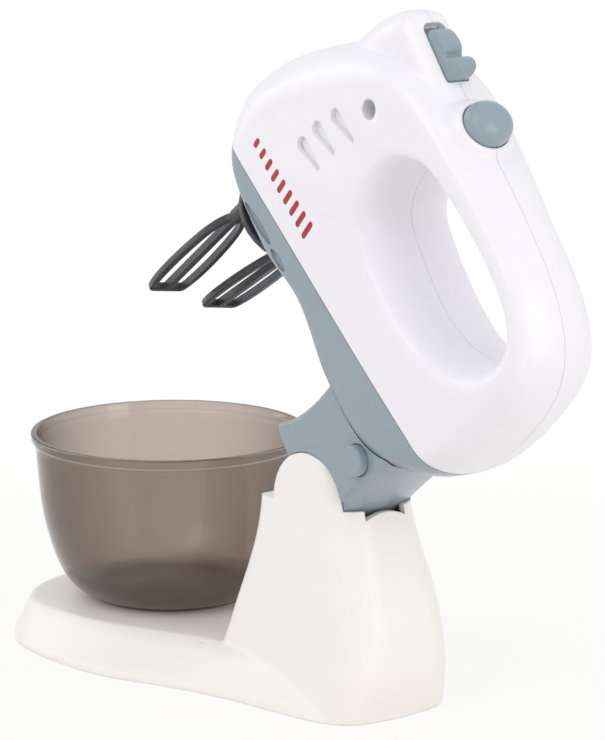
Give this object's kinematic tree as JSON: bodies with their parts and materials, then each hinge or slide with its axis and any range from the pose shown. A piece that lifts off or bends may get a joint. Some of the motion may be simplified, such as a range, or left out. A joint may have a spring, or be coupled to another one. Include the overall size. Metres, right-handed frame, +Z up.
{
  "type": "toy stand mixer",
  "caption": "Toy stand mixer: a battery hand mixer with beaters clips into a tilting cradle on a stand, over a smoky clear bowl.",
  "frame": {"origin": "on the table, directly under the axis of the bowl", "axes": "+X from the bowl towards the column and the rear, +Y across to the far side, +Z up"},
  "size_m": [0.3014, 0.1326, 0.2729],
  "materials": {
    "white_shell": "cool white injection-moulded plastic, soft sheen",
    "stand_white": "warm white injection-moulded plastic, satin",
    "blue_grey": "blue-grey moulded plastic, semi-gloss",
    "dark_grey": "dark grey moulded plastic, satin",
    "smoked": "clear plastic tinted smoky brown, glossy",
    "inner_white": "off-white moulded plastic, matt",
    "steel": "plated steel, fine brushed",
    "cell_skin": "thin printed skin over a metal can, plain"
  },
  "bodies": {
    "stand": {"stand_shell": "stand_white", "base_cover": "stand_white", "base_screw_1": "steel", "base_screw_2": "steel", "base_screw_3": "steel", "base_screw_4": "steel"},
    "bowl": {"bowl": "smoked"},
    "cradle": {"cradle": "blue_grey", "release_spring": "steel"},
    "release": {"release_button": "blue_grey"},
    "mixer": {"housing_left": "white_shell", "housing_right": "white_shell", "lower_housing": "blue_grey", "housing_screw": "steel", "lower_screw_1": "steel", "lower_screw_2": "steel", "motor": "steel", "gear_plate": "inner_white", "battery_tray": "inner_white", "battery_1": "cell_skin", "battery_2": "cell_skin", "cell_contact_1": "steel", "cell_contact_2": "steel", "battery_door": "white_shell", "door_screw": "steel", "boost_spring": "steel"},
    "slider": {"speed_slider": "blue_grey"},
    "boost": {"boost_button": "blue_grey"},
    "turret": {"turret": "dark_grey", "drive_gear": "inner_white"},
    "pinion": {"motor_pinion": "inner_white"},
    "rear_beater": {"beater_1": "dark_grey"},
    "front_beater": {"beater_2": "dark_grey"}
  },
  "joints": [
    {"name": "bowl_lift", "type": "slide", "parent": "stand", "child": "bowl", "axis": [0, 0, 1], "range_m": [0, 0.03]},
    {"name": "head_tilt", "type": "hinge", "parent": "stand", "child": "cradle", "pos_m": [0.12, 0, 0.08], "axis": [0, 1, 0], "range_deg": [-54, 0]},
    {"name": "release_press", "type": "slide", "parent": "cradle", "child": "release", "axis": [0, 1, 0], "range_m": [0, 0.0025], "stiffness_N_per_m": 400, "springref_m": -0.0015, "deforming": ["release_spring"]},
    {"name": "mixer_lift", "type": "slide", "parent": "cradle", "child": "mixer", "axis": [0.809, 0, 0.5878], "range_m": [0, 0.03]},
    {"name": "slider_move", "type": "slide", "parent": "mixer", "child": "slider", "axis": [-0.5878, 0, 0.809], "range_m": [0, 0.003]},
    {"name": "boost_press", "type": "slide", "parent": "mixer", "child": "boost", "axis": [-0.809, 0, -0.5878], "range_m": [0, 0.002], "stiffness_N_per_m": 400, "springref_m": -0.0015, "deforming": ["boost_spring"]},
    {"name": "turret_spin", "type": "hinge", "parent": "mixer", "child": "turret", "pos_m": [0.05564, 0, 0.16859], "axis": [0.809, 0, 0.5878], "continuous": true},
    {"name": "pinion_spin", "type": "hinge", "parent": "mixer", "child": "pinion", "pos_m": [0.06739, 0, 0.15241], "axis": [0.809, 0, 0.5878], "continuous": true},
    {"name": "rear_beater_pull", "type": "slide", "parent": "turret", "child": "rear_beater", "axis": [-0.866, 0, -0.5], "range_m": [0, 0.015]},
    {"name": "front_beater_pull", "type": "slide", "parent": "turret", "child": "front_beater", "axis": [-0.809, 0, -0.5878], "range_m": [0, 0.015]}
  ],
  "couplings": [
    {"joint": "pinion_spin", "follows": "turret_spin", "ratio": -4}
  ]
}
